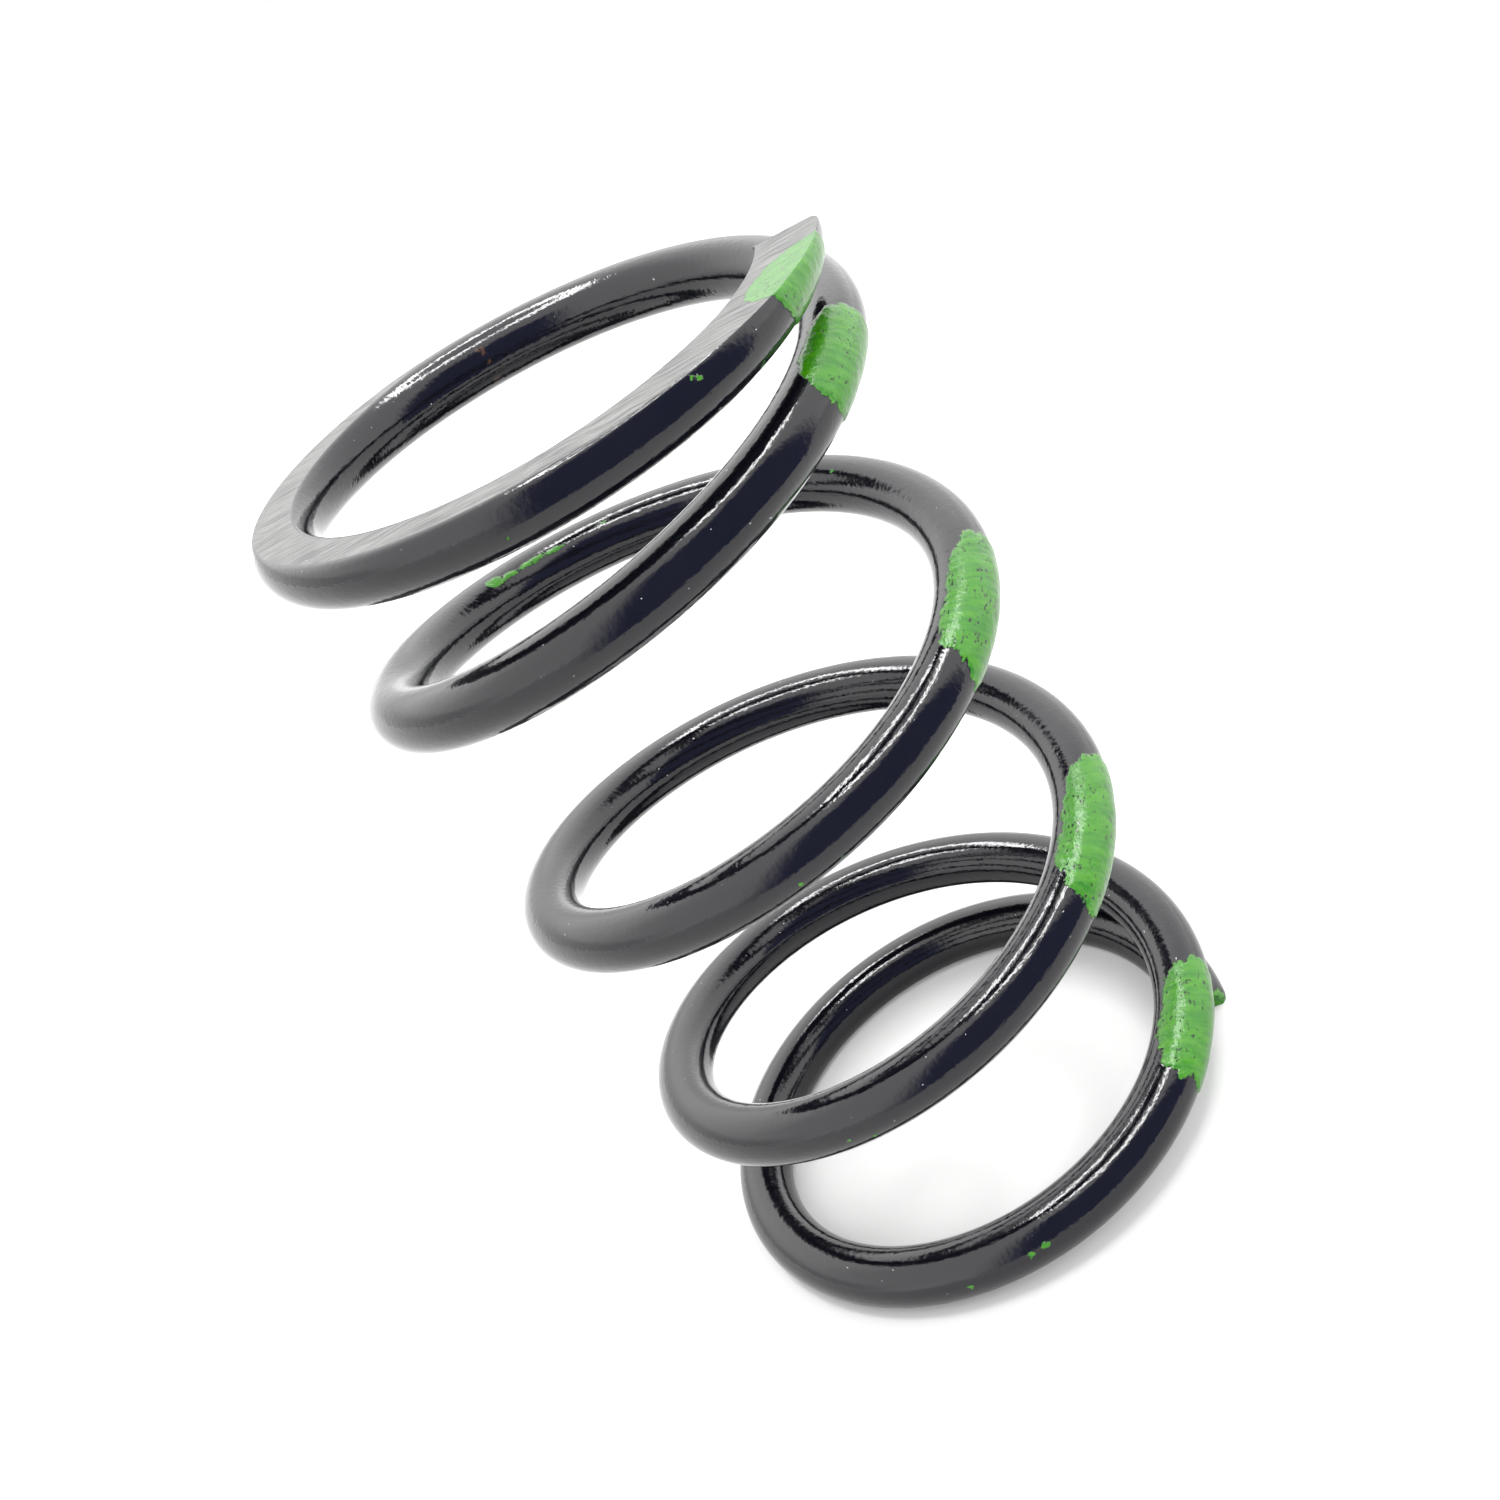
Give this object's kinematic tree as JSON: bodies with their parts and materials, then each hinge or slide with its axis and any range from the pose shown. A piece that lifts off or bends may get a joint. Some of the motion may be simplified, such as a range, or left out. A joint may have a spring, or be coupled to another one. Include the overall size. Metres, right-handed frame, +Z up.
{
  "type": "compression coil spring",
  "caption": "Cylindrical compression coil spring of round wire, wide open coils, closed and ground flat ends, black enamel with green identification dabs.",
  "frame": {"origin": "on the coil axis, in the plane of the ground bottom end face", "axes": "+Z up along the coil axis; the two wire tips lie beside +X, the bottom one 6.5 degrees and the top one 4.3 degrees towards -Y; the wire climbs anticlockwise seen from above"},
  "size_m": [0.053, 0.053, 0.0878],
  "materials": {
    "black_enamelled_wire": "gloss black enamel over round spring-steel wire, thin and grey on the ground end faces, with raised green paint dabs along one side"
  },
  "bodies": {
    "bottom_end_coil": {"bottom_end_tip": "black_enamelled_wire", "bottom_end_arc_2": "black_enamelled_wire", "bottom_end_arc_3": "black_enamelled_wire", "bottom_end_arc_4": "black_enamelled_wire", "bottom_end_arc_5": "black_enamelled_wire", "bottom_end_arc_6": "black_enamelled_wire", "bottom_end_arc_7": "black_enamelled_wire"},
    "active_arc_01": {"active_arc_01": "black_enamelled_wire"},
    "active_arc_02": {"active_arc_02": "black_enamelled_wire"},
    "active_arc_03": {"active_arc_03": "black_enamelled_wire"},
    "active_arc_04": {"active_arc_04": "black_enamelled_wire"},
    "active_arc_05": {"active_arc_05": "black_enamelled_wire"},
    "active_arc_06": {"active_arc_06": "black_enamelled_wire"},
    "active_arc_07": {"active_arc_07": "black_enamelled_wire"},
    "active_arc_08": {"active_arc_08": "black_enamelled_wire"},
    "active_arc_09": {"active_arc_09": "black_enamelled_wire"},
    "active_arc_10": {"active_arc_10": "black_enamelled_wire"},
    "active_arc_11": {"active_arc_11": "black_enamelled_wire"},
    "active_arc_12": {"active_arc_12": "black_enamelled_wire"},
    "active_arc_13": {"active_arc_13": "black_enamelled_wire"},
    "active_arc_14": {"active_arc_14": "black_enamelled_wire"},
    "active_arc_15": {"active_arc_15": "black_enamelled_wire"},
    "active_arc_16": {"active_arc_16": "black_enamelled_wire"},
    "active_arc_17": {"active_arc_17": "black_enamelled_wire"},
    "active_arc_18": {"active_arc_18": "black_enamelled_wire"},
    "active_arc_19": {"active_arc_19": "black_enamelled_wire"},
    "active_arc_20": {"active_arc_20": "black_enamelled_wire"},
    "active_arc_21": {"active_arc_21": "black_enamelled_wire"},
    "active_arc_22": {"active_arc_22": "black_enamelled_wire"},
    "active_arc_23": {"active_arc_23": "black_enamelled_wire"},
    "active_arc_24": {"active_arc_24": "black_enamelled_wire"},
    "active_arc_25": {"active_arc_25": "black_enamelled_wire"},
    "active_arc_26": {"active_arc_26": "black_enamelled_wire"},
    "top_end_coil": {"top_end_arc_7": "black_enamelled_wire", "top_end_arc_6": "black_enamelled_wire", "top_end_arc_5": "black_enamelled_wire", "top_end_arc_4": "black_enamelled_wire", "top_end_arc_3": "black_enamelled_wire", "top_end_arc_2": "black_enamelled_wire", "top_end_tip": "black_enamelled_wire"}
  },
  "joints": [
    {"name": "compression", "type": "slide", "parent": "bottom_end_coil", "child": "top_end_coil", "axis": [0, 0, -1], "range_m": [0, 0.05205], "stiffness_N_per_m": 24800},
    {"name": "coil_closing_01", "type": "slide", "parent": "bottom_end_coil", "child": "active_arc_01", "axis": [0, 0, -1], "range_m": [0, 0.000149], "stiffness_N_per_m": 5000, "springref_m": -0.00018},
    {"name": "coil_closing_02", "type": "slide", "parent": "active_arc_01", "child": "active_arc_02", "axis": [0, 0, -1], "range_m": [0, 0.00069], "stiffness_N_per_m": 5000, "springref_m": -0.00017},
    {"name": "coil_closing_03", "type": "slide", "parent": "active_arc_02", "child": "active_arc_03", "axis": [0, 0, -1], "range_m": [0, 0.0014], "stiffness_N_per_m": 5000, "springref_m": -0.00016},
    {"name": "coil_closing_04", "type": "slide", "parent": "active_arc_03", "child": "active_arc_04", "axis": [0, 0, -1], "range_m": [0, 0.00201], "stiffness_N_per_m": 5000, "springref_m": -0.00016},
    {"name": "coil_closing_05", "type": "slide", "parent": "active_arc_04", "child": "active_arc_05", "axis": [0, 0, -1], "range_m": [0, 0.0023], "stiffness_N_per_m": 5000, "springref_m": -0.00015},
    {"name": "coil_closing_06", "type": "slide", "parent": "active_arc_05", "child": "active_arc_06", "axis": [0, 0, -1], "range_m": [0, 0.0023], "stiffness_N_per_m": 5000, "springref_m": -0.00014},
    {"name": "coil_closing_07", "type": "slide", "parent": "active_arc_06", "child": "active_arc_07", "axis": [0, 0, -1], "range_m": [0, 0.0023], "stiffness_N_per_m": 5000, "springref_m": -0.00014},
    {"name": "coil_closing_08", "type": "slide", "parent": "active_arc_07", "child": "active_arc_08", "axis": [0, 0, -1], "range_m": [0, 0.0023], "stiffness_N_per_m": 5000, "springref_m": -0.00013},
    {"name": "coil_closing_09", "type": "slide", "parent": "active_arc_08", "child": "active_arc_09", "axis": [0, 0, -1], "range_m": [0, 0.0023], "stiffness_N_per_m": 5000, "springref_m": -0.00012},
    {"name": "coil_closing_10", "type": "slide", "parent": "active_arc_09", "child": "active_arc_10", "axis": [0, 0, -1], "range_m": [0, 0.0023], "stiffness_N_per_m": 5000, "springref_m": -0.00012},
    {"name": "coil_closing_11", "type": "slide", "parent": "active_arc_10", "child": "active_arc_11", "axis": [0, 0, -1], "range_m": [0, 0.0023], "stiffness_N_per_m": 5000, "springref_m": -0.00011},
    {"name": "coil_closing_12", "type": "slide", "parent": "active_arc_11", "child": "active_arc_12", "axis": [0, 0, -1], "range_m": [0, 0.0023], "stiffness_N_per_m": 5000, "springref_m": -0.0001},
    {"name": "coil_closing_13", "type": "slide", "parent": "active_arc_12", "child": "active_arc_13", "axis": [0, 0, -1], "range_m": [0, 0.0023], "stiffness_N_per_m": 5000, "springref_m": -0.0001},
    {"name": "coil_closing_14", "type": "slide", "parent": "active_arc_13", "child": "active_arc_14", "axis": [0, 0, -1], "range_m": [0, 0.0023], "stiffness_N_per_m": 5000, "springref_m": -0.00009},
    {"name": "coil_closing_15", "type": "slide", "parent": "active_arc_14", "child": "active_arc_15", "axis": [0, 0, -1], "range_m": [0, 0.0023], "stiffness_N_per_m": 5000, "springref_m": -0.00008},
    {"name": "coil_closing_16", "type": "slide", "parent": "active_arc_15", "child": "active_arc_16", "axis": [0, 0, -1], "range_m": [0, 0.0023], "stiffness_N_per_m": 5000, "springref_m": -0.00007},
    {"name": "coil_closing_17", "type": "slide", "parent": "active_arc_16", "child": "active_arc_17", "axis": [0, 0, -1], "range_m": [0, 0.0023], "stiffness_N_per_m": 5000, "springref_m": -0.00007},
    {"name": "coil_closing_18", "type": "slide", "parent": "active_arc_17", "child": "active_arc_18", "axis": [0, 0, -1], "range_m": [0, 0.0023], "stiffness_N_per_m": 5000, "springref_m": -0.00006},
    {"name": "coil_closing_19", "type": "slide", "parent": "active_arc_18", "child": "active_arc_19", "axis": [0, 0, -1], "range_m": [0, 0.0023], "stiffness_N_per_m": 5000, "springref_m": -0.00006},
    {"name": "coil_closing_20", "type": "slide", "parent": "active_arc_19", "child": "active_arc_20", "axis": [0, 0, -1], "range_m": [0, 0.0023], "stiffness_N_per_m": 5000, "springref_m": -0.00005},
    {"name": "coil_closing_21", "type": "slide", "parent": "active_arc_20", "child": "active_arc_21", "axis": [0, 0, -1], "range_m": [0, 0.0023], "stiffness_N_per_m": 5000, "springref_m": -0.00004},
    {"name": "coil_closing_22", "type": "slide", "parent": "active_arc_21", "child": "active_arc_22", "axis": [0, 0, -1], "range_m": [0, 0.0023], "stiffness_N_per_m": 5000, "springref_m": -0.00003},
    {"name": "coil_closing_23", "type": "slide", "parent": "active_arc_22", "child": "active_arc_23", "axis": [0, 0, -1], "range_m": [0, 0.0023], "stiffness_N_per_m": 5000, "springref_m": -0.00003},
    {"name": "coil_closing_24", "type": "slide", "parent": "active_arc_23", "child": "active_arc_24", "axis": [0, 0, -1], "range_m": [0, 0.00201], "stiffness_N_per_m": 5000, "springref_m": -0.00002},
    {"name": "coil_closing_25", "type": "slide", "parent": "active_arc_24", "child": "active_arc_25", "axis": [0, 0, -1], "range_m": [0, 0.0014], "stiffness_N_per_m": 5000, "springref_m": -0.00001},
    {"name": "coil_closing_26", "type": "slide", "parent": "active_arc_25", "child": "active_arc_26", "axis": [0, 0, -1], "range_m": [0, 0.00069], "stiffness_N_per_m": 5000, "springref_m": -0.00001}
  ],
  "couplings": [
    {"joint": "coil_closing_01", "follows": "compression", "ratio": 0.0028627},
    {"joint": "coil_closing_02", "follows": "compression", "ratio": 0.013257},
    {"joint": "coil_closing_03", "follows": "compression", "ratio": 0.026821},
    {"joint": "coil_closing_04", "follows": "compression", "ratio": 0.038714},
    {"joint": "coil_closing_05", "follows": "compression", "ratio": 0.04417},
    {"joint": "coil_closing_06", "follows": "compression", "ratio": 0.044189},
    {"joint": "coil_closing_07", "follows": "compression", "ratio": 0.044189},
    {"joint": "coil_closing_08", "follows": "compression", "ratio": 0.044189},
    {"joint": "coil_closing_09", "follows": "compression", "ratio": 0.044189},
    {"joint": "coil_closing_10", "follows": "compression", "ratio": 0.044189},
    {"joint": "coil_closing_11", "follows": "compression", "ratio": 0.044189},
    {"joint": "coil_closing_12", "follows": "compression", "ratio": 0.044189},
    {"joint": "coil_closing_13", "follows": "compression", "ratio": 0.044189},
    {"joint": "coil_closing_14", "follows": "compression", "ratio": 0.044189},
    {"joint": "coil_closing_15", "follows": "compression", "ratio": 0.044189},
    {"joint": "coil_closing_16", "follows": "compression", "ratio": 0.044189},
    {"joint": "coil_closing_17", "follows": "compression", "ratio": 0.044189},
    {"joint": "coil_closing_18", "follows": "compression", "ratio": 0.044189},
    {"joint": "coil_closing_19", "follows": "compression", "ratio": 0.044189},
    {"joint": "coil_closing_20", "follows": "compression", "ratio": 0.044189},
    {"joint": "coil_closing_21", "follows": "compression", "ratio": 0.044189},
    {"joint": "coil_closing_22", "follows": "compression", "ratio": 0.044189},
    {"joint": "coil_closing_23", "follows": "compression", "ratio": 0.04417},
    {"joint": "coil_closing_24", "follows": "compression", "ratio": 0.038714},
    {"joint": "coil_closing_25", "follows": "compression", "ratio": 0.026821},
    {"joint": "coil_closing_26", "follows": "compression", "ratio": 0.013257}
  ]
}
